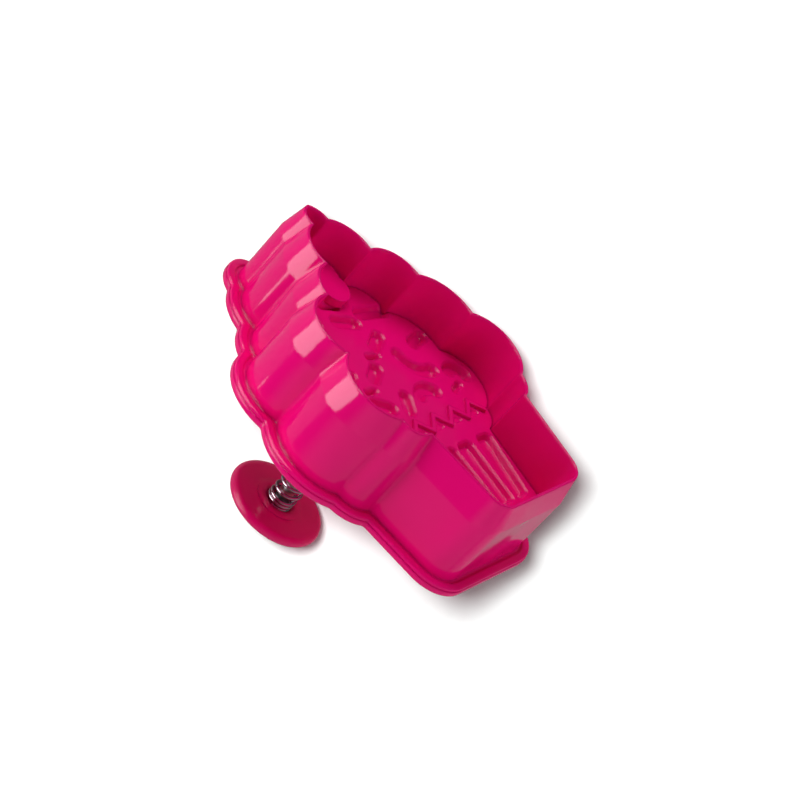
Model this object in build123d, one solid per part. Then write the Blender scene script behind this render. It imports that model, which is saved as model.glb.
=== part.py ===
from build123d import *
import math
import os

# Plunger cutter in the outline of a frosted cupcake. Millimetres. The cutting edge lies in the plane Z = 0
# and the knob is above it. +Y points to the tip of the frosting, and the origin is the centre of the base.

# Cutter outline and wall
cutter_length = 90.0
wall_height = 25.6
bevel_height = 8.1
rim_thickness = 0.6
wall_thickness = 2.2
wrapper_corner_radius = 5.4
tip_radius = 1.2
rim_crease_radius = 0.2
wall_crease_radius = 1.1

# Flange of the cutter shell, and the back plate on it
flange_reach = 3.3
shell_flange_thickness = 0.9
groove_width = 1.0
groove_depth = 0.4
flange_crease_radius = 1.5
plate_thickness = 1.8
plate_overhang = 0.15
edge_round = 0.3
plate_back_round = 0.6
lip_height = 1.2
lip_thickness = 1.2
fit_clearance = 0.05

# Plunger stem and its guide
stem_diameter = 4.0
stem_offset = 0.8
running_clearance = 0.06
guide_tube_diameter = 8.0
guide_tube_length = 4.0
seat_bore_diameter = 7.8
seat_ring_wall = 1.1
seat_ring_height = 1.6

# Stamp
stamp_recess = 13.5
stamp_clearance = 0.3
stamp_thickness = 2.6
skirt_thickness = 1.2
skirt_rib_thickness = 1.2
skirt_rib_height = 3.0
boss_diameter = 8.5
boss_height = 4.8

# Relief on the stamp's face
relief_depth = 1.6
relief_edge_bevel = 0.3
dollop_height = 2.4
dollop_radius = 4.7
zigzag_width = 1.2
zigzag_height = 0.8
tooth_depth = 0.2
pleat_corner_radius = 1.6

# Knob
knob_diameter = 26.4
knob_rim_thickness = 2.7
knob_rise = 62.1
knob_crown_height = 3.4
knob_boss_diameter = 12.6
knob_boss_height = 0.3
knob_seat_depth = 0.9
knob_socket_depth = 3.4

# Knob screw
screw_head_diameter = 5.2
screw_head_height = 1.6
screw_shank_diameter = 2.4
screw_shank_length = 9.0
screw_slot_width = 0.8
screw_slot_depth = 0.8
screw_recess_clearance = 0.25

# Return spring
wire_diameter = 1.0
coil_outer_diameter = 7.4
coil_count = 15
coil_end_pitch = 1.65
coil_bend_radius = 1.1

# Cuts run past the faces that they open by this much
overrun = 1.0

# Outline of the cutting edge, as shares of the cutter's length: first across from the wrapper's middle,
# then up from the wrapper's end. Each lobe runs from its lower corner through its widest point to the next.
# The widest lobes bulge more to +X, so the wrapper's middle lies this share to -X of the centre of the base.
lean_share = 0.0076
wrapper_end_share = 0.205
plus_start_shares = (0.243, 0.270)
plus_lobe_shares = [
    ((0.294, 0.290), (0.306, 0.334)),
    ((0.375, 0.452), (0.304, 0.560)),
    ((0.313, 0.684), (0.206, 0.736)),
    ((0.180, 0.793), (0.112, 0.822)),
    ((0.104, 0.898), (0.040, 0.944)),
    ((0.034, 0.980), (0.000, 1.000)),
]
minus_start_shares = (0.237, 0.270)
minus_lobe_shares = [
    ((0.274, 0.292), (0.292, 0.330)),
    ((0.359, 0.424), (0.296, 0.545)),
    ((0.281, 0.641), (0.208, 0.704)),
    ((0.184, 0.784), (0.102, 0.820)),
    ((0.087, 0.899), (0.032, 0.943)),
    ((0.018, 0.984), (0.000, 1.000)),
]

# Relief, as shares of the cutter's length: across from the wrapper's middle towards -X, and up from its end
pleat_shares = [
    ((-0.218, 0.270), (-0.150, 0.270), (-0.116, 0.060), (-0.178, 0.068)),
    ((-0.118, 0.270), (-0.050, 0.270), (-0.044, 0.062), (-0.104, 0.062)),
    ((-0.035, 0.270), (0.035, 0.270), (0.032, 0.062), (-0.032, 0.062)),
    ((0.050, 0.270), (0.118, 0.270), (0.104, 0.062), (0.044, 0.062)),
    ((0.150, 0.270), (0.218, 0.270), (0.178, 0.068), (0.116, 0.060)),
]
zigzag_end_share = 0.267
zigzag_teeth = 6
zigzag_low_share = 0.328
zigzag_high_share = 0.371
sprinkle_width_share = 0.044
straight_sprinkle_shares = [
    ((0.092, 0.722), (0.188, 0.708)),
    ((0.046, 0.616), (0.092, 0.640)),
    ((-0.056, 0.531), (-0.016, 0.555)),
    ((-0.128, 0.462), (-0.082, 0.434)),
    ((0.208, 0.588), (0.262, 0.600)),
    ((-0.018, 0.410), (0.008, 0.450)),
    ((-0.020, 0.722), (0.045, 0.700)),
    ((-0.160, 0.700), (-0.110, 0.730)),
    ((-0.240, 0.640), (-0.205, 0.605)),
    ((-0.150, 0.600), (-0.120, 0.645)),
    ((-0.285, 0.520), (-0.240, 0.540)),
    ((-0.175, 0.530), (-0.135, 0.560)),
    ((-0.300, 0.430), (-0.270, 0.465)),
    ((-0.215, 0.460), (-0.190, 0.420)),
]
curved_sprinkle_shares = [
    ((0.112, 0.572), (0.134, 0.520), (0.196, 0.494)),
    ((0.258, 0.476), (0.294, 0.474), (0.308, 0.446)),
    ((0.068, 0.438), (0.099, 0.452), (0.140, 0.434)),
]
small_sprinkle_width_share = 0.024
small_sprinkle_shares = [
    ((-0.010, 0.594), (0.028, 0.588)),
    ((-0.120, 0.500), (-0.090, 0.496)),
    ((0.222, 0.414), (0.254, 0.426)),
    ((-0.030, 0.778), (0.020, 0.762)),
]
dollop_shares = [(0.040, 0.808), (0.040, 0.852), (-0.055, 0.852)]

# Heights
shell_top = wall_height + shell_flange_thickness
plate_top = shell_top + plate_thickness
stamp_back = stamp_recess + stamp_thickness
skirt_top = shell_top - lip_height
boss_top = stamp_back + boss_height
knob_face = knob_rise - knob_rim_thickness / 2
knob_back = knob_rise + knob_rim_thickness / 2
knob_seat = knob_face + knob_seat_depth - knob_boss_height
crown_top = knob_back + knob_crown_height
stem_top = knob_face + knob_socket_depth
screw_seat = crown_top - screw_head_height - screw_recess_clearance

# Two places nearer than this are the same place
near = fit_clearance / 10

# Radius of the knob's crown, from its width and height
crown_half_width = knob_diameter / 2 - knob_rim_thickness / 2
crown_radius = (crown_half_width**2 + knob_crown_height**2) / (2 * knob_crown_height)

# Rise of the spring's turns, and how much of it the closed turns at both ends and the slopes between take
coil_height = knob_seat - plate_top - 2 * (wire_diameter + coil_bend_radius)
coil_end_share = 9 / 4
coil_slope_share = 5 / 2

# Where the wrapper's middle and the stem's axis are
middle = -lean_share * cutter_length
stem_place = Location((middle, stem_offset, 0))


def edge_point(shares, side):
    """A point of the cutting edge from its shares, on the +X side or the -X side."""
    across, up = shares
    return (middle + side * across * cutter_length, (up - 1 / 2) * cutter_length)


def corners(face):
    """The corners of an outline, where one of its edges doesn't run on smoothly into the next."""
    found = []
    for vertex in face.vertices():
        ways = []
        for edge in face.edges():
            ways += [edge % end for end in (0, 1) if (edge @ end - Vector(vertex)).length < near]
        if ways[0].cross(ways[1]).length > 1 / 10:
            found.append(vertex)
    return found


def outline_face():
    """The closed outline of the cutting edge, with the wrapper's corners and the tip rounded."""
    with BuildSketch() as sketch:
        with BuildLine():
            Line(edge_point((wrapper_end_share, 0), -1), edge_point((wrapper_end_share, 0), 1))
            for side, start, lobes in (
                (1, plus_start_shares, plus_lobe_shares),
                (-1, minus_start_shares, minus_lobe_shares),
            ):
                corner = edge_point(start, side)
                Line(edge_point((wrapper_end_share, 0), side), corner)
                for bulge, top in lobes:
                    next_corner = edge_point(top, side)
                    ThreePointArc(corner, edge_point(bulge, side), next_corner)
                    corner = next_corner
        make_face()
        fillet(sketch.vertices().group_by(Axis.Y)[0], wrapper_corner_radius)
        fillet(sketch.vertices().group_by(Axis.Y)[-1], tip_radius)
    return sketch.sketch.face()


edge_face = outline_face()
inner_offset = -rim_thickness / 2
outer_offset = wall_thickness + inner_offset
land_offset = outer_offset + groove_width
flange_offset = outer_offset + flange_reach


def grown(amount, crease_radius=wall_crease_radius):
    """The cutter's outline moved outwards by this much, or inwards if negative, with its creases rounded."""
    if amount < 0:
        return offset(edge_face, amount, kind=Kind.ARC).face()
    face = offset(edge_face, amount, kind=Kind.INTERSECTION).face()
    creases = corners(face)
    return face.fillet_2d(crease_radius, creases) if creases else face


def prism(face, low, high):
    """A straight solid on this outline, between two heights."""
    return extrude(Pos(0, 0, low) * face, high - low)


def cylinder(diameter, low, high):
    """An upright cylinder about the stem's axis, between two heights."""
    disc = Circle(diameter / 2)
    return extrude(stem_place * Pos(0, 0, low) * disc, high - low)


def level_edges(solid, height):
    """The edges of a solid that lie in the level plane at this height."""
    level = []
    for edge in solid.edges():
        box = edge.bounding_box()
        if abs(box.min.Z - height) < near and abs(box.max.Z - height) < near:
            level.append(edge)
    return level


def cutter_shell():
    """The cutting wall, bevelled to a thin rim, with the flange moulded round its top."""
    rim = grown(-inner_offset, rim_crease_radius)
    bevel = loft([rim, Pos(0, 0, bevel_height) * grown(outer_offset)], ruled=True)
    wall = prism(grown(outer_offset), bevel_height, shell_top)
    flange = prism(grown(flange_offset - plate_overhang, flange_crease_radius), wall_height, shell_top)
    flange -= prism(grown(land_offset), wall_height - overrun, wall_height + groove_depth)
    flange = flange.fillet(edge_round, level_edges(flange, wall_height))
    cavity = prism(grown(inner_offset), -overrun, shell_top + overrun)
    return bevel + wall + flange - cavity


def back_plate():
    """The plate that closes the shell, with its locating lip, guide tube and spring seat."""
    plate = prism(grown(flange_offset, flange_crease_radius), shell_top, plate_top)
    plate = plate.fillet(plate_back_round, level_edges(plate, plate_top))
    lip_outer = grown(inner_offset - fit_clearance)
    lip_inner = grown(inner_offset - fit_clearance - lip_thickness)
    lip = prism(lip_outer, skirt_top, shell_top) - prism(lip_inner, skirt_top - overrun, shell_top)
    tube = cylinder(guide_tube_diameter, shell_top - guide_tube_length, shell_top)
    ring = cylinder(seat_bore_diameter + 2 * seat_ring_wall, plate_top, plate_top + seat_ring_height)
    ring -= cylinder(seat_bore_diameter, plate_top, plate_top + seat_ring_height + overrun)
    bore = cylinder(stem_diameter + 2 * running_clearance, -overrun, plate_top + overrun)
    return plate + lip + tube + ring - bore


def relief_point(shares):
    """A point of the stamp's relief from its shares."""
    across, up = shares
    return (middle - across * cutter_length, (up - 1 / 2) * cutter_length)


def sprinkle_face(points, width):
    """A round-ended strip between two points, or along an arc through three."""
    if len(points) == 3:
        return SlotArc(ThreePointArc(*points), width).face()
    start, end = Vector(*points[0]), Vector(*points[1])
    way = end - start
    turn = math.degrees(math.atan2(way.Y, way.X))
    middle = (start + end) * (1 / 2)
    return (Pos(middle) * Rot(0, 0, turn) * SlotCenterToCenter(way.length, width)).face()


def sprinkles():
    """Every sprinkle of the frosting, as outlines on the stamp's face."""
    width = sprinkle_width_share * cutter_length
    small_width = small_sprinkle_width_share * cutter_length
    faces = []
    for shares in straight_sprinkle_shares + curved_sprinkle_shares:
        faces.append(sprinkle_face([relief_point(point) for point in shares], width))
    for shares in small_sprinkle_shares:
        faces.append(sprinkle_face([relief_point(point) for point in shares], small_width))
    return faces


def pleats():
    """The hollows between the pleats of the wrapper, as outlines on the stamp's face."""
    faces = []
    for shares in pleat_shares:
        with BuildSketch() as sketch:
            Polygon(*[relief_point(point) for point in shares], align=None)
            fillet(sketch.vertices(), pleat_corner_radius)
        faces.append(sketch.sketch.face())
    return faces


def zigzag_points():
    """The zigzag where the frosting meets the wrapper, alternately low and high."""
    step = 2 * zigzag_end_share / (2 * zigzag_teeth)
    points = []
    for index in range(2 * zigzag_teeth + 1):
        up = zigzag_high_share if index % 2 else zigzag_low_share
        points.append(relief_point((-zigzag_end_share + index * step, up)))
    return points


def zigzag_band():
    """The raised line along the zigzag, as an outline on the stamp's face."""
    with BuildSketch() as sketch:
        with BuildLine():
            Polyline(*zigzag_points())
        trace(line_width=zigzag_width)
    return sketch.sketch.face()


def teeth():
    """The shallow hollows under the peaks of the zigzag, as outlines on the stamp's face."""
    points = zigzag_points()
    faces = []
    for index in range(1, len(points) - 1, 2):
        left, peak, right = points[index - 1 : index + 2]
        with BuildSketch() as sketch:
            Polygon(
                (left[0] - 3 / 2 * zigzag_width, left[1]),
                (right[0] + 3 / 2 * zigzag_width, right[1]),
                (peak[0], peak[1] - 2 * zigzag_width),
                align=None,
            )
            fillet(sketch.vertices(), zigzag_width / 3)
        faces.append(sketch.sketch.face())
    return faces


def dollop_face(plate_face):
    """The top of the frosting, which stands out from the stamp's face, within the stamp's outline."""
    centres = [relief_point(shares) for shares in dollop_shares]
    half_width = max(abs(centre[0] - middle) for centre in centres) + dollop_radius
    low = max(centre[1] for centre in centres)
    with BuildSketch() as sketch:
        with Locations((middle, low)):
            Rectangle(2 * half_width, cutter_length, align=(Align.CENTER, Align.MIN))
        for centre in centres:
            with Locations(centre):
                Circle(dollop_radius)
    return (sketch.sketch & plate_face).face()


def relief_cut(face, depth, slope):
    """A hollow of this outline, depth and wall slope in the stamp's face, with a bevelled mouth."""
    level = Pos(0, 0, stamp_recess)
    mouth = offset(face, relief_edge_bevel).face()
    cut = prism(face, stamp_recess - overrun, stamp_recess) + extrude(level * face, depth, taper=slope)
    return cut + extrude(level * mouth, relief_edge_bevel, taper=45)


def stamp_plate():
    """The stamp, hollow behind, with the cupcake's relief on its face and a boss for the stem."""
    side = grown(inner_offset - stamp_clearance)
    hollow = grown(inner_offset - stamp_clearance - skirt_thickness)
    stamp = prism(side, stamp_recess, skirt_top)
    for face in sprinkles() + pleats():
        stamp -= relief_cut(face, relief_depth, 30)
    for face in teeth():
        stamp -= relief_cut(face, tooth_depth, 0)
    inside = prism(hollow, stamp_back, skirt_top + overrun)
    stamp -= inside
    ribs = Box(cutter_length, skirt_rib_thickness, skirt_rib_height)
    ribs += Box(skirt_rib_thickness, 2 * cutter_length, skirt_rib_height)
    ribs = stem_place * Pos(0, 0, stamp_back + skirt_rib_height / 2) * ribs
    stamp += ribs & inside
    stamp += prism(dollop_face(side), stamp_recess - dollop_height, stamp_recess)
    stamp += prism(zigzag_band(), stamp_recess - zigzag_height, stamp_recess)
    stamp += cylinder(boss_diameter, stamp_back, boss_top)
    return stamp - cylinder(stem_diameter, stamp_back, boss_top + overrun)


def plunger_stem():
    """The steel rod that joins the stamp to the knob, drilled for the knob's screw."""
    rod = cylinder(stem_diameter, stamp_back, stem_top)
    rod -= cylinder(screw_shank_diameter, screw_seat - screw_shank_length, stem_top + overrun)
    return rod


def coil_places():
    """The places along the coil's axis where the wire's slope changes, in turns, with the slope there."""
    full = (coil_height - coil_end_share * coil_end_pitch) / (coil_count - coil_slope_share)
    return [
        (0, 0),
        (1 / 4, coil_end_pitch),
        (1, coil_end_pitch),
        (3 / 2, full),
        (coil_count - 3 / 2, full),
        (coil_count - 1, coil_end_pitch),
        (coil_count - 1 / 4, coil_end_pitch),
        (coil_count, 0),
    ]


def slope_at(turn):
    """The wire's rise for each turn, at this many turns from its lower end."""
    places = coil_places()
    for (start, low), (end, high) in zip(places, places[1:]):
        if start <= turn <= end:
            return low + (high - low) * (turn - start) / (end - start)
    return 0


def coil_points():
    """The middle of the wire at each quarter turn, with its direction there."""
    radius = (coil_outer_diameter - wire_diameter) / 2
    height = plate_top + wire_diameter + coil_bend_radius
    points = []
    for quarter in range(4 * coil_count + 1):
        turn = quarter / 4
        if quarter:
            height += (slope_at(turn) + slope_at(turn - 1 / 4)) / 2 / 4
        angle = 2 * math.pi * turn
        place = Vector(middle + radius * math.cos(angle), stem_offset + radius * math.sin(angle), height)
        run = 2 * math.pi * radius
        way = Vector(-run * math.sin(angle), run * math.cos(angle), slope_at(turn))
        points.append((place, way.normalized()))
    return points


def biarc(start, start_way, end, end_way):
    """Two arcs that meet smoothly, from one place and direction to the next."""
    chord = end - start
    both = start_way + end_way
    square = 2 * start_way.dot(end_way) - 2
    cross = chord.dot(both)
    reach = (cross - math.sqrt(cross * cross - square * chord.dot(chord))) / square
    first = start + start_way * reach
    last = end - end_way * reach
    middle = (first + last) * (1 / 2)
    return [
        Edge.make_tangent_arc(start, start_way, middle),
        Edge.make_tangent_arc(middle, last - first, end),
    ]


def coil_wire():
    """The middle line of the spring's wire, from its seat on the back plate to its seat in the knob."""
    points = coil_points()
    upward = Vector(0, 0, 1)
    place, way = points[0]
    foot = place - way * coil_bend_radius - upward * coil_bend_radius
    edges = [Edge.make_line(foot - upward * wire_diameter, foot)]
    edges.append(Edge.make_tangent_arc(foot, upward, place))
    for (start, start_way), (end, end_way) in zip(points, points[1:]):
        edges += biarc(start, start_way, end, end_way)
    place, way = points[-1]
    head = place + way * coil_bend_radius + upward * coil_bend_radius
    edges.append(Edge.make_tangent_arc(place, way, head))
    edges.append(Edge.make_line(head, head + upward * wire_diameter))
    return Wire(edges)


def least_gap(wire):
    """The least gap between one stretch of the wire's surface and another, measured on points."""
    steps = 24 * coil_count
    points = [wire.position_at(step / steps) for step in range(steps + 1)]
    apart = steps // (2 * coil_count)
    gaps = []
    for index, point in enumerate(points):
        gaps += [(point - other).length for other in points[index + apart :]]
    return min(gaps) - wire_diameter


def return_spring():
    """The coil spring between the back plate and the knob."""
    path = coil_wire()
    print("least gap of the spring to itself", round(least_gap(path), 3))
    section = Plane(path.position_at(0), z_dir=path.tangent_at(0)) * Circle(wire_diameter / 2)
    return sweep(section, path)


def knob():
    """The round thumb knob with its rounded rim, spring seat and screw recess."""
    rim_radius = knob_rim_thickness / 2
    face_radius = knob_diameter / 2 - rim_radius
    with BuildSketch(Plane.XZ) as profile:
        with BuildLine():
            Line((0, knob_face), (face_radius, knob_face))
            ThreePointArc((face_radius, knob_face), (knob_diameter / 2, knob_rise), (face_radius, knob_back))
            RadiusArc((face_radius, knob_back), (0, crown_top), -crown_radius)
            Line((0, crown_top), (0, knob_face))
        make_face()
    body = stem_place * revolve(profile.sketch, Axis.Z)
    body += cylinder(knob_boss_diameter, knob_face - knob_boss_height, knob_rise)
    body -= cylinder(seat_bore_diameter, knob_face - knob_boss_height - overrun, knob_seat)
    body -= cylinder(stem_diameter, knob_face - overrun, stem_top)
    body -= cylinder(screw_shank_diameter, knob_face, crown_top)
    recess = screw_head_diameter + 2 * screw_recess_clearance
    return body - cylinder(recess, screw_seat, crown_top + overrun)


def knob_screw():
    """The slotted screw that holds the knob on the stem."""
    head_top = screw_seat + screw_head_height
    screw = cylinder(screw_head_diameter, screw_seat, head_top)
    screw = screw.fillet(screw_head_height / 3, level_edges(screw, head_top))
    screw += cylinder(screw_shank_diameter, screw_seat - screw_shank_length, screw_seat)
    slot = Box(screw_head_diameter + overrun, screw_slot_width, 2 * screw_slot_depth)
    return screw - stem_place * Pos(0, 0, head_top) * slot


PIECES = {
    "cutter_shell": cutter_shell,
    "back_plate": back_plate,
    "stamp_plate": stamp_plate,
    "plunger_stem": plunger_stem,
    "return_spring": return_spring,
    "knob": knob,
    "knob_screw": knob_screw,
}


def main():
    """Write each piece to its own file."""
    os.makedirs("parts", exist_ok=True)
    for name, make in PIECES.items():
        export_step(make(), f"parts/{name}.step")


if __name__ == "__main__":
    main()
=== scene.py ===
import math

import bpy
from mathutils import Matrix, Vector


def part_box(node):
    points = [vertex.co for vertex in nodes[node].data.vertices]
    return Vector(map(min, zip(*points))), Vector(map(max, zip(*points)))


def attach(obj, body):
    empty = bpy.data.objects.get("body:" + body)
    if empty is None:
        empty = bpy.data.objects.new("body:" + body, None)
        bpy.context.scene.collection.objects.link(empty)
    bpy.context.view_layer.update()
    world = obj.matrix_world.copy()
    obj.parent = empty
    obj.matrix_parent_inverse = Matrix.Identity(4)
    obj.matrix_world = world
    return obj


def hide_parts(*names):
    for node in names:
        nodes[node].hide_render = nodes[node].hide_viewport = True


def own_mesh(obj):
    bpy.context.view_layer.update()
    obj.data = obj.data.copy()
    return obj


# Magenta plunger cutter in the outline of a frosted cupcake, lying on its side on a pale studio floor.
# Metres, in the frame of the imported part: the cutting edge lies in the plane Z = 0, the knob is above it,
# and +Y points to the tip of the frosting.

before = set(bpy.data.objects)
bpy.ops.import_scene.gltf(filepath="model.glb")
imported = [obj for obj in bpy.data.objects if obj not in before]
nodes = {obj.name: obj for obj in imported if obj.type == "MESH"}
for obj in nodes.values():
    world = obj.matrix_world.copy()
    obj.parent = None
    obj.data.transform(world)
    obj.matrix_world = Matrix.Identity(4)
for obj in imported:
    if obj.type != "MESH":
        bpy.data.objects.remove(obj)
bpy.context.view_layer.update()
bpy.ops.object.select_all(action="DESELECT")

MM = 0.001

# The camera, from the perspective of the photograph
CAMERA_PLACE = Vector((0.68828, -0.17788, -0.42565))
CAMERA_RIGHT = Vector((-0.52766, -0.61975, -0.58093))
CAMERA_UP = Vector((-0.20594, 0.75682, -0.62033))
CAMERA_LENS = 157.8
SENSOR_WIDTH = 36.0

# The cutter lies on its side, on the knob's rim and two lobes of its flange, and is seen almost from above
FLOOR_UP = Vector((0.792, -0.350, -0.500)).normalized()
FLOOR_SIZE = 8.0

# The soft boxes stand round the table, square to the picture's upward direction
ROOM_UP = Vector((0.0, 0.673, -0.740)).normalized()
SUBJECT = Vector((0.0, 0.0, 0.03))


# ---------------------------------------------------------------- small helpers


def deselect():
    """Leaves object mode with nothing selected."""
    if bpy.context.object and bpy.context.object.mode != "OBJECT":
        bpy.ops.object.mode_set(mode="OBJECT")
    bpy.ops.object.select_all(action="DESELECT")


def make_active(piece):
    """Selects one piece alone and makes it active."""
    deselect()
    piece.select_set(True)
    bpy.context.view_layer.objects.active = piece


def apply_place(piece):
    """Puts a piece's place, turn and scale into its mesh."""
    make_active(piece)
    bpy.ops.object.transform_apply(location=True, rotation=True, scale=True)


def apply_modifiers(piece):
    """Applies a piece's modifiers in their order."""
    make_active(piece)
    for modifier in list(piece.modifiers):
        bpy.ops.object.modifier_apply(modifier=modifier.name)


# ---------------------------------------------------------------- camera, floor and lights


def room_direction(azimuth, elevation):
    """A direction in the studio: azimuth 0 is straight away from the camera, 90 to its right."""
    looks_along = CAMERA_UP.cross(CAMERA_RIGHT)
    away = (looks_along - looks_along.dot(ROOM_UP) * ROOM_UP).normalized()
    right = away.cross(ROOM_UP)
    turn, rise = math.radians(azimuth), math.radians(elevation)
    level = math.cos(turn) * away + math.sin(turn) * right
    return math.cos(rise) * level + math.sin(rise) * ROOM_UP


def facing(place, target):
    """The matrix of something at a place that points its -Z at a target, level with the room."""
    back = (place - target).normalized()
    right = ROOM_UP.cross(back).normalized()
    up = back.cross(right)
    turn = Matrix((right, up, back)).transposed().to_4x4()
    return Matrix.Translation(place) @ turn


def add_camera():
    """The camera, at the photograph's viewpoint."""
    bpy.ops.object.camera_add()
    camera = bpy.context.object
    camera.name = "camera"
    back = CAMERA_RIGHT.cross(CAMERA_UP)
    turn = Matrix((CAMERA_RIGHT, CAMERA_UP, back)).transposed().to_4x4()
    camera.matrix_world = Matrix.Translation(CAMERA_PLACE) @ turn
    camera.data.sensor_width = SENSOR_WIDTH
    camera.data.lens = CAMERA_LENS
    camera.data.clip_start = 0.01
    camera.data.clip_end = 30.0
    bpy.context.scene.camera = camera


def add_floor():
    """A wide pale floor that just touches the cutter, and that only its upper side shows."""
    depth = max(-FLOOR_UP.dot(vertex.co) for node in nodes.values() for vertex in node.data.vertices)
    bpy.ops.mesh.primitive_plane_add(size=FLOOR_SIZE)
    floor = bpy.context.object
    floor.name = "studio_floor"
    turn = FLOOR_UP.to_track_quat("Z", "Y").to_matrix().to_4x4()
    floor.matrix_world = Matrix.Translation(-depth * FLOOR_UP) @ turn
    apply_place(floor)
    floor.data.materials.append(floor_material())
    return floor


def floor_material():
    """White paper, dimmer where the plastic mirrors it, with a soft glow where it lights the cutter."""
    material = bpy.data.materials.new("studio_paper")
    material.use_nodes = True
    tree = material.node_tree
    tree.nodes.clear()
    output = tree.nodes.new("ShaderNodeOutputMaterial")
    coordinates = tree.nodes.new("ShaderNodeTexCoord")
    fibres = tree.nodes.new("ShaderNodeTexNoise")
    fibres.inputs["Scale"].default_value = PAPER_FIBRES
    tree.links.new(coordinates.outputs["Object"], fibres.inputs["Vector"])
    darkest, lightest = (1 - FIBRE_CONTRAST) * PAPER_WHITE, (1 + FIBRE_CONTRAST) * PAPER_WHITE
    shade = add_range(tree, fibres.outputs["Fac"], 0.0, 1.0, darkest, lightest)
    light_path = tree.nodes.new("ShaderNodeLightPath")
    rightwards = add_dot(tree, coordinates.outputs["Object"], UPPER_RIGHT)
    mirrored = add_range(tree, rightwards, *MIRRORED_SPAN, *PAPER_IN_REFLECTIONS)
    loss = add_math(tree, "SUBTRACT", 1.0, mirrored)
    darker = add_math(tree, "MULTIPLY", light_path.outputs["Is Glossy Ray"], loss)
    dimming = add_math(tree, "SUBTRACT", 1.0, darker)
    tint = tree.nodes.new("ShaderNodeVectorMath")
    tint.operation = "MULTIPLY"
    tint.inputs[1].default_value = PAPER_TINT
    tree.links.new(add_math(tree, "MULTIPLY", shade, dimming), tint.inputs[0])
    paper = tree.nodes.new("ShaderNodeBsdfDiffuse")
    tree.links.new(tint.outputs["Vector"], paper.inputs["Color"])
    downwards = add_dot(tree, coordinates.outputs["Object"], LOWER_RIGHT)
    glow = tree.nodes.new("ShaderNodeEmission")
    tree.links.new(add_range(tree, downwards, *GLOW_SPAN, *FLOOR_GLOW), glow.inputs["Strength"])
    front = tree.nodes.new("ShaderNodeMixShader")
    tree.links.new(light_path.outputs["Is Diffuse Ray"], front.inputs["Fac"])
    tree.links.new(paper.outputs["BSDF"], front.inputs[1])
    tree.links.new(glow.outputs["Emission"], front.inputs[2])
    geometry = tree.nodes.new("ShaderNodeNewGeometry")
    clear = tree.nodes.new("ShaderNodeBsdfTransparent")
    sides = tree.nodes.new("ShaderNodeMixShader")
    tree.links.new(geometry.outputs["Backfacing"], sides.inputs["Fac"])
    tree.links.new(front.outputs["Shader"], sides.inputs[1])
    tree.links.new(clear.outputs["BSDF"], sides.inputs[2])
    tree.links.new(sides.outputs["Shader"], output.inputs["Surface"])
    return material


# The floor's paper, and how fine and how strong its fibres are
PAPER_WHITE = 0.8
PAPER_TINT = (0.95, 1.0, 0.985)
PAPER_FIBRES = 400.0
FIBRE_CONTRAST = 0.02

# How much of the paper the plastic mirrors, less towards the upper right of the table
UPPER_RIGHT = 0.7 * CAMERA_RIGHT + 0.7 * CAMERA_UP
MIRRORED_SPAN = (-0.005, 0.02)
PAPER_IN_REFLECTIONS = (0.26, 0.03)

# How brightly the floor lights the cutter, more towards the lower right of the table
LOWER_RIGHT = 0.4 * CAMERA_RIGHT - 0.9 * CAMERA_UP
GLOW_SPAN = (-0.06, 0.06)
FLOOR_GLOW = (0.25, 1.2)

# The room's fill, from below to above the rise given here
FILL_SPAN = (-0.45, -0.2)
ROOM_FILL = (0.26, 0.02)
ROOM_WHITE = 1.0

# Each light: name, azimuth, elevation, distance, width, height, radiance, whether the plastic mirrors it,
# and what it lights: the cutter or the floor
SOFT_BOXES = [
    ("key_soft_box", -108.0, 24.0, 0.80, 0.87, 0.62, 4.2, True, "cutter"),
    ("top_soft_box", 121.0, 77.0, 1.00, 0.80, 0.80, 4.2, True, "cutter"),
    ("front_fill", 180.0, -20.0, 1.00, 0.80, 0.80, 1.6, False, "cutter"),
    ("end_fill", 117.0, -12.0, 1.00, 0.60, 0.60, 3.0, False, "cutter"),
    ("table_lamp", -175.5, 19.0, 1.20, 0.17, 0.17, 205.0, False, "floor"),
    ("table_fill", -175.5, 19.0, 1.20, 1.00, 1.00, 1.5, False, "floor"),
]


def add_soft_box(name, azimuth, elevation, distance, width, height, radiance, mirrored, lights):
    """A flat rectangular light that faces the cutter."""
    place = SUBJECT + distance * room_direction(azimuth, elevation)
    bpy.ops.object.light_add(type="AREA")
    light = bpy.context.object
    light.name = name
    light.matrix_world = facing(place, SUBJECT)
    light.data.shape = "RECTANGLE"
    light.data.size = width
    light.data.size_y = height
    light.data.energy = radiance * math.pi * width * height
    light.visible_camera = False
    light.visible_glossy = mirrored
    light.light_linking.receiver_collection = receivers(name + "_lights", lights)


def receivers(name, lights):
    """The group of what a light reaches: the floor alone, or all but the floor."""
    group = bpy.data.collections.new(name)
    group.objects.link(floor)
    group.collection_objects[0].light_linking.link_state = "INCLUDE" if lights == "floor" else "EXCLUDE"
    return group


def add_dot(tree, vector, direction):
    """How far a vector reaches along a direction."""
    node = tree.nodes.new("ShaderNodeVectorMath")
    node.operation = "DOT_PRODUCT"
    node.inputs[1].default_value = direction
    tree.links.new(vector, node.inputs[0])
    return node.outputs["Value"]


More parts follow.
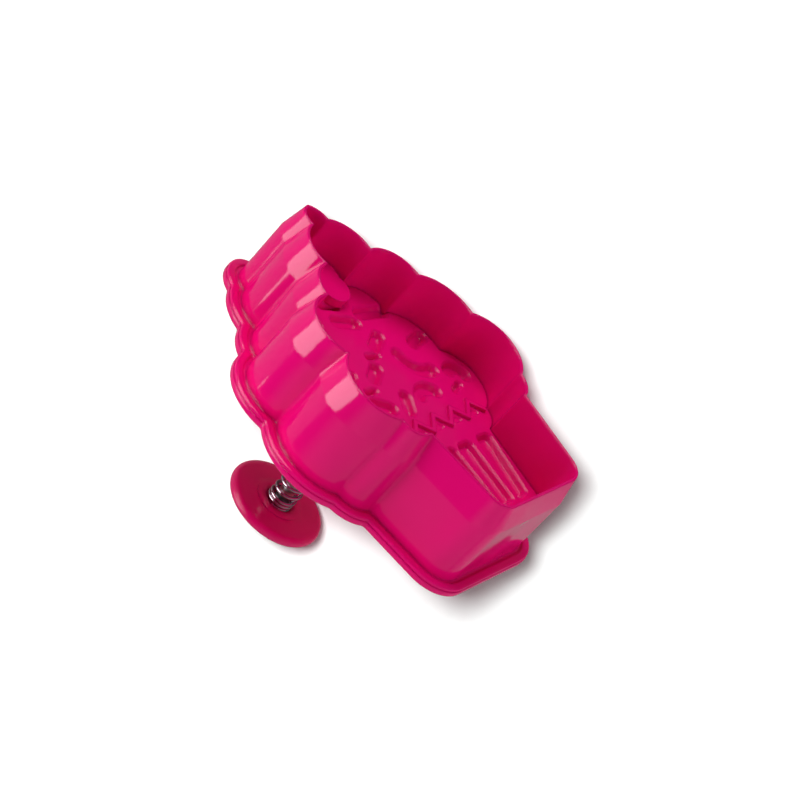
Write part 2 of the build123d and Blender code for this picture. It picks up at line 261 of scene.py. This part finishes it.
def add_room():
    """White where the camera sees it, and elsewhere a dim fill that comes mostly from below."""
    world = bpy.data.worlds.new("studio_room")
    bpy.context.scene.world = world
    world.use_nodes = True
    tree = world.node_tree
    tree.nodes.clear()
    output = tree.nodes.new("ShaderNodeOutputWorld")
    light_path = tree.nodes.new("ShaderNodeLightPath")
    coordinates = tree.nodes.new("ShaderNodeTexCoord")
    rise = add_dot(tree, coordinates.outputs["Generated"], ROOM_UP)
    fill = tree.nodes.new("ShaderNodeBackground")
    tree.links.new(add_range(tree, rise, *FILL_SPAN, *ROOM_FILL), fill.inputs["Strength"])
    seen = tree.nodes.new("ShaderNodeBackground")
    seen.inputs["Strength"].default_value = ROOM_WHITE
    for background in (fill, seen):
        background.inputs["Color"].default_value = (1.0, 1.0, 1.0, 1.0)
    mix = tree.nodes.new("ShaderNodeMixShader")
    tree.links.new(light_path.outputs["Is Camera Ray"], mix.inputs["Fac"])
    tree.links.new(fill.outputs["Background"], mix.inputs[1])
    tree.links.new(seen.outputs["Background"], mix.inputs[2])
    tree.links.new(mix.outputs["Shader"], output.inputs["Surface"])


# ---------------------------------------------------------------- materials


def new_group(name, inputs, outputs):
    """A shader node group with its named inputs, each with a kind and a value, and its named outputs."""
    group = bpy.data.node_groups.new(name, "ShaderNodeTree")
    for label, kind, value in inputs:
        socket = group.interface.new_socket(name=label, in_out="INPUT", socket_type=kind)
        socket.default_value = value
    for label, kind in outputs:
        group.interface.new_socket(name=label, in_out="OUTPUT", socket_type=kind)
    return group, group.nodes.new("NodeGroupInput"), group.nodes.new("NodeGroupOutput")


def add_noise(tree, vector, scale, detail=2.0, stretch=(1.0, 1.0, 1.0)):
    """Noise over the piece's own coordinates, finer with scale and drawn out by stretch."""
    mapping = tree.nodes.new("ShaderNodeMapping")
    mapping.inputs["Scale"].default_value = stretch
    tree.links.new(vector, mapping.inputs["Vector"])
    noise = tree.nodes.new("ShaderNodeTexNoise")
    noise.inputs["Scale"].default_value = scale
    noise.inputs["Detail"].default_value = detail
    tree.links.new(mapping.outputs["Vector"], noise.inputs["Vector"])
    return noise.outputs["Fac"]


def add_range(tree, value, low, high, to_low, to_high):
    """Maps a value from one range to another, held at the ends."""
    node = tree.nodes.new("ShaderNodeMapRange")
    node.inputs["From Min"].default_value = low
    node.inputs["From Max"].default_value = high
    node.inputs["To Min"].default_value = to_low
    node.inputs["To Max"].default_value = to_high
    tree.links.new(value, node.inputs["Value"])
    return node.outputs["Result"]


def add_math(tree, operation, first, second):
    """A maths node on two values, each a socket or a number."""
    node = tree.nodes.new("ShaderNodeMath")
    node.operation = operation
    for index, value in enumerate((first, second)):
        if isinstance(value, (int, float)):
            node.inputs[index].default_value = value
        else:
            tree.links.new(value, node.inputs[index])
    return node.outputs["Value"]


# Noise scales of the plastic: larger is finer
FLOW_CLOUDS = 32.0
HANDLING_HAZE = 55.0
HAIRLINE_SCUFFS = 260.0
SINK_WAVES = 45.0
MOULD_GRAIN = 1500.0
GRAIN_SHARE = 0.0008


def moulding_group():
    """Moulded plastic: faint flow clouds in the colour, sink waves, haze and hairline scuffs."""
    group, start, end = new_group(
        "moulded_plastic",
        [
            ("Colour", "NodeSocketColor", (0.8, 0.0, 0.2, 1.0)),
            ("Cloud Colour", "NodeSocketColor", (0.7, 0.0, 0.15, 1.0)),
            ("Roughness", "NodeSocketFloat", 0.08),
            ("Haze", "NodeSocketFloat", 0.05),
        ],
        [("Colour", "NodeSocketColor"), ("Roughness", "NodeSocketFloat"), ("Height", "NodeSocketFloat")],
    )
    vector = group.nodes.new("ShaderNodeTexCoord").outputs["Object"]
    clouds = add_range(group, add_noise(group, vector, FLOW_CLOUDS, 3.0), 0.35, 0.7, 0.0, 1.0)
    colour = group.nodes.new("ShaderNodeMix")
    colour.data_type = "RGBA"
    group.links.new(clouds, colour.inputs["Factor"])
    group.links.new(start.outputs["Colour"], colour.inputs["A"])
    group.links.new(start.outputs["Cloud Colour"], colour.inputs["B"])
    group.links.new(colour.outputs["Result"], end.inputs["Colour"])
    haze = add_range(group, add_noise(group, vector, HANDLING_HAZE, 4.0), 0.45, 0.75, 0.0, 1.0)
    scratches = add_noise(group, vector, HAIRLINE_SCUFFS, 2.0, (1.0, 9.0, 1.4))
    scuffs = add_range(group, scratches, 0.66, 0.74, 0.0, 0.5)
    marks = add_math(group, "MULTIPLY", add_math(group, "ADD", haze, scuffs), start.outputs["Haze"])
    group.links.new(add_math(group, "ADD", start.outputs["Roughness"], marks), end.inputs["Roughness"])
    waves = add_noise(group, vector, SINK_WAVES, 1.0)
    grain = add_math(group, "MULTIPLY", add_noise(group, vector, MOULD_GRAIN, 1.0), GRAIN_SHARE)
    group.links.new(add_math(group, "ADD", waves, grain), end.inputs["Height"])
    return group


PLASTIC_IOR = 1.5
EDGE_SAMPLES = 6


def plastic_material(name, colours, roughness, haze, edge_radius, wave_height, shine):
    """Glossy plastic of a colour and its clouds, with softened edges, slow waves and its own shine."""
    material = bpy.data.materials.new(name)
    material.use_nodes = True
    tree = material.node_tree
    shader = tree.nodes["Principled BSDF"]
    marks = tree.nodes.new("ShaderNodeGroup")
    marks.node_tree = MOULDING
    marks.inputs["Colour"].default_value, marks.inputs["Cloud Colour"].default_value = colours
    marks.inputs["Roughness"].default_value = roughness
    marks.inputs["Haze"].default_value = haze
    bump = tree.nodes.new("ShaderNodeBump")
    bump.inputs["Strength"].default_value = 1.0
    bump.inputs["Distance"].default_value = wave_height
    soft_edges = tree.nodes.new("ShaderNodeBevel")
    soft_edges.samples = EDGE_SAMPLES
    soft_edges.inputs["Radius"].default_value = edge_radius
    tree.links.new(soft_edges.outputs["Normal"], bump.inputs["Normal"])
    tree.links.new(marks.outputs["Height"], bump.inputs["Height"])
    tree.links.new(marks.outputs["Colour"], shader.inputs["Base Color"])
    tree.links.new(marks.outputs["Roughness"], shader.inputs["Roughness"])
    tree.links.new(bump.outputs["Normal"], shader.inputs["Normal"])
    shader.inputs["IOR"].default_value = PLASTIC_IOR
    shader.inputs["Specular IOR Level"].default_value = shine
    return material


# Noise scales of the metal, and the height of its lines
TARNISH_SPOTS = 300.0
TOOL_LINES = 900.0
LINE_HEIGHT = 0.02 * MM


def metal_group():
    """Drawn or turned metal: fine lines along one direction, with faint tarnish."""
    group, start, end = new_group(
        "worked_metal",
        [
            ("Colour", "NodeSocketColor", (0.7, 0.7, 0.72, 1.0)),
            ("Tarnish Colour", "NodeSocketColor", (0.5, 0.48, 0.46, 1.0)),
            ("Roughness", "NodeSocketFloat", 0.2),
            ("Lines", "NodeSocketFloat", 0.1),
        ],
        [("Colour", "NodeSocketColor"), ("Roughness", "NodeSocketFloat"), ("Height", "NodeSocketFloat")],
    )
    vector = group.nodes.new("ShaderNodeTexCoord").outputs["Object"]
    tarnish = add_range(group, add_noise(group, vector, TARNISH_SPOTS, 4.0), 0.45, 0.75, 0.0, 1.0)
    colour = group.nodes.new("ShaderNodeMix")
    colour.data_type = "RGBA"
    group.links.new(tarnish, colour.inputs["Factor"])
    group.links.new(start.outputs["Colour"], colour.inputs["A"])
    group.links.new(start.outputs["Tarnish Colour"], colour.inputs["B"])
    group.links.new(colour.outputs["Result"], end.inputs["Colour"])
    lines = add_noise(group, vector, TOOL_LINES, 3.0, (0.15, 0.15, 6.0))
    shine = add_math(group, "MULTIPLY", lines, start.outputs["Lines"])
    group.links.new(add_math(group, "ADD", start.outputs["Roughness"], shine), end.inputs["Roughness"])
    group.links.new(lines, end.inputs["Height"])
    return group


def metal_material(name, colours, roughness, lines):
    """Bare metal of a colour and its tarnish."""
    material = bpy.data.materials.new(name)
    material.use_nodes = True
    tree = material.node_tree
    shader = tree.nodes["Principled BSDF"]
    finish = tree.nodes.new("ShaderNodeGroup")
    finish.node_tree = WORKED_METAL
    finish.inputs["Colour"].default_value, finish.inputs["Tarnish Colour"].default_value = colours
    finish.inputs["Roughness"].default_value = roughness
    finish.inputs["Lines"].default_value = lines
    bump = tree.nodes.new("ShaderNodeBump")
    bump.inputs["Strength"].default_value = 0.1
    bump.inputs["Distance"].default_value = LINE_HEIGHT
    tree.links.new(finish.outputs["Height"], bump.inputs["Height"])
    tree.links.new(finish.outputs["Colour"], shader.inputs["Base Color"])
    tree.links.new(finish.outputs["Roughness"], shader.inputs["Roughness"])
    tree.links.new(bump.outputs["Normal"], shader.inputs["Normal"])
    shader.inputs["Metallic"].default_value = 1.0
    return material


def paint(piece, material):
    """Gives every material slot of a piece this material."""
    if not piece.data.materials:
        piece.data.materials.append(material)
    for index in range(len(piece.material_slots)):
        piece.material_slots[index].material = material


# ---------------------------------------------------------------- return spring

WIRE_RADIUS = 0.5 * MM
COIL_RADIUS = 3.2 * MM
END_TURNS = 2.25
END_PITCH = 1.06 * MM
ALL_TURNS = 15.0
WIRE_SIDES = 16
STEPS_IN_A_TURN = 32


def wound_turns(name, centre, height, start_turn, turns, pitch):
    """A run of the spring: a ring of wire, wound round the stem's axis at a steady rise."""
    angle = 2 * math.pi * start_turn
    bpy.ops.mesh.primitive_circle_add(
        vertices=WIRE_SIDES,
        radius=WIRE_RADIUS,
        rotation=(math.pi / 2, 0, 0),
        location=(COIL_RADIUS, 0, 0),
    )
    run = bpy.context.object
    run.name = name
    apply_place(run)
    winding = run.modifiers.new("winding", "SCREW")
    winding.axis = "Z"
    winding.angle = 2 * math.pi * turns
    winding.screw_offset = pitch * turns
    winding.steps = winding.render_steps = round(STEPS_IN_A_TURN * turns)
    winding.use_merge_vertices = False
    apply_modifiers(run)
    run.matrix_world = Matrix.Translation((centre.x, centre.y, height)) @ Matrix.Rotation(angle, 4, "Z")
    apply_place(run)
    return run


def add_spring():
    """The return spring: closely wound at both ends, on the axis of the stem."""
    low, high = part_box("return_spring")
    centre = (low + high) / 2
    lowest, highest = low.z + WIRE_RADIUS, high.z - WIRE_RADIUS
    middle_turns = ALL_TURNS - 2 * END_TURNS
    end_run = END_TURNS * END_PITCH
    middle_pitch = (highest - lowest - 2 * END_TURNS * END_PITCH) / middle_turns
    last_start = END_TURNS + middle_turns
    runs = [
        wound_turns("return_spring_coil", centre, lowest, 0.0, END_TURNS, END_PITCH),
        wound_turns("middle_run", centre, lowest + end_run, END_TURNS, middle_turns, middle_pitch),
        wound_turns("upper_run", centre, highest - end_run, last_start, END_TURNS, END_PITCH),
    ]
    deselect()
    for run in runs:
        run.select_set(True)
    spring = runs[0]
    bpy.context.view_layer.objects.active = spring
    bpy.ops.object.join()
    bpy.ops.object.mode_set(mode="EDIT")
    bpy.ops.mesh.select_all(action="SELECT")
    bpy.ops.mesh.remove_doubles(threshold=0.01 * MM)
    bpy.ops.mesh.select_all(action="DESELECT")
    bpy.ops.mesh.select_non_manifold(extend=False)
    bpy.ops.mesh.edge_face_add()
    bpy.ops.mesh.select_all(action="SELECT")
    bpy.ops.mesh.normals_make_consistent(inside=False)
    bpy.ops.object.mode_set(mode="OBJECT")
    bpy.ops.object.shade_smooth_by_angle(angle=math.radians(50))
    return spring


# ---------------------------------------------------------------- the scene

bpy.context.scene.view_settings.view_transform = "Standard"
add_camera()
floor = add_floor()
add_room()
for soft_box in SOFT_BOXES:
    add_soft_box(*soft_box)

MOULDING = moulding_group()
WORKED_METAL = metal_group()

# Each colour with that of its clouds, then each finish: for plastic the roughness, haze, edge radius, wave
# height and shine, and for metal the roughness and how much its lines add
MAGENTA = [(0.78, 0.002, 0.165, 1.0), (0.72, 0.002, 0.145, 1.0)]
# The knob's colour is darker than the cutter's magenta. This is painted shade for the cutter's shade that
# the knob lies in.
SHADED_MAGENTA = [(0.64, 0.001, 0.118, 1.0), (0.59, 0.001, 0.102, 1.0)]
cutter_plastic = plastic_material("cutter_plastic", MAGENTA, 0.07, 0.05, 1.0 * MM, 1.0 * MM, 0.5)
plate_plastic = plastic_material("plate_plastic", MAGENTA, 0.09, 0.07, 1.0 * MM, 0.15 * MM, 0.5)
stamp_plastic = plastic_material("stamp_plastic", MAGENTA, 0.11, 0.05, 0.6 * MM, 0.2 * MM, 0.35)
knob_plastic = plastic_material("knob_plastic", SHADED_MAGENTA, 0.16, 0.06, 2.0 * MM, 0.1 * MM, 0.5)
# The spring's chrome and its tarnish are tinted purple. This is a painted reflection of the magenta plastic
# around the spring.
CHROME_AND_PAINTED_REFLECTION = [(0.62, 0.54, 0.60, 1.0), (0.42, 0.34, 0.39, 1.0)]
STEM_STEEL = [(0.62, 0.61, 0.60, 1.0), (0.42, 0.40, 0.38, 1.0)]
SCREW_STEEL = [(0.66, 0.65, 0.64, 1.0), (0.45, 0.43, 0.41, 1.0)]
spring_chrome = metal_material("spring_chrome", CHROME_AND_PAINTED_REFLECTION, 0.08, 0.10)
stem_steel = metal_material("stem_steel", STEM_STEEL, 0.22, 0.20)
screw_steel = metal_material("screw_steel", SCREW_STEEL, 0.25, 0.15)

paint(nodes["cutter_shell"], cutter_plastic)
paint(nodes["back_plate"], plate_plastic)
paint(nodes["stamp_plate"], stamp_plastic)
paint(nodes["knob"], knob_plastic)
paint(nodes["plunger_stem"], stem_steel)
paint(nodes["knob_screw"], screw_steel)

spring = add_spring()
paint(spring, spring_chrome)
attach(spring, "cutter")
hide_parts("return_spring")
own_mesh(spring)

deselect()
